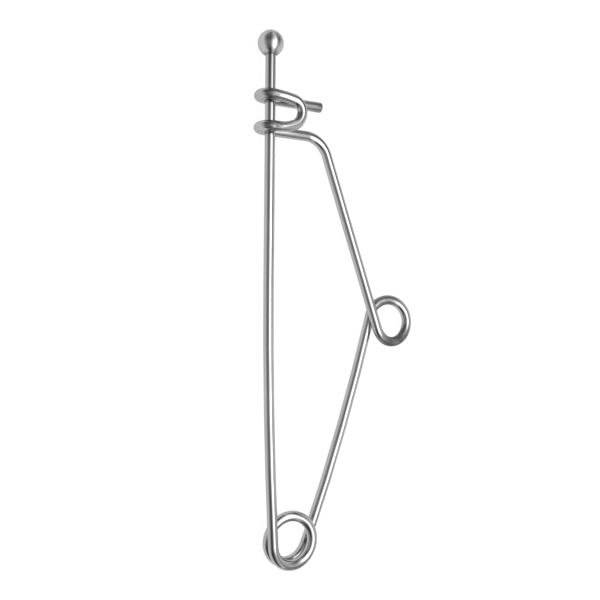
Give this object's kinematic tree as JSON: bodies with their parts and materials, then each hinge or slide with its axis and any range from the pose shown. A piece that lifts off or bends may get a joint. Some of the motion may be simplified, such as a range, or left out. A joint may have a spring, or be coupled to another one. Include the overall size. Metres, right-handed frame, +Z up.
{
  "type": "towel clamp",
  "caption": "Bent-wire towel clamp that closes like a safety pin: a sprung pin arm with a ball end seats between wire hooks on a triangular frame.",
  "frame": {"origin": "centre of the clamp in plan, on the surface it lies on", "axes": "+Y up the pin from the lower coil to the ball, +X from the pin towards the side coil, +Z up from the surface"},
  "size_m": [0.051, 0.1388, 0.0084],
  "materials": {
    "spring_wire": "polished",
    "ball": "polished"
  },
  "bodies": {
    "frame": {"catch_frame": "spring_wire", "coil_spring": "spring_wire"},
    "pin": {"pin_arm": "spring_wire", "ball_tip": "ball"}
  },
  "joints": [
    {"name": "pin_squeeze", "type": "hinge", "parent": "frame", "child": "pin", "pos_m": [-0.01312, -0.06195, 0.0053], "axis": [0, 0, -1], "range_deg": [0, 8], "stiffness_Nm_per_rad": 3, "springref_deg": -0.57, "deforming": ["coil_spring"]}
  ]
}
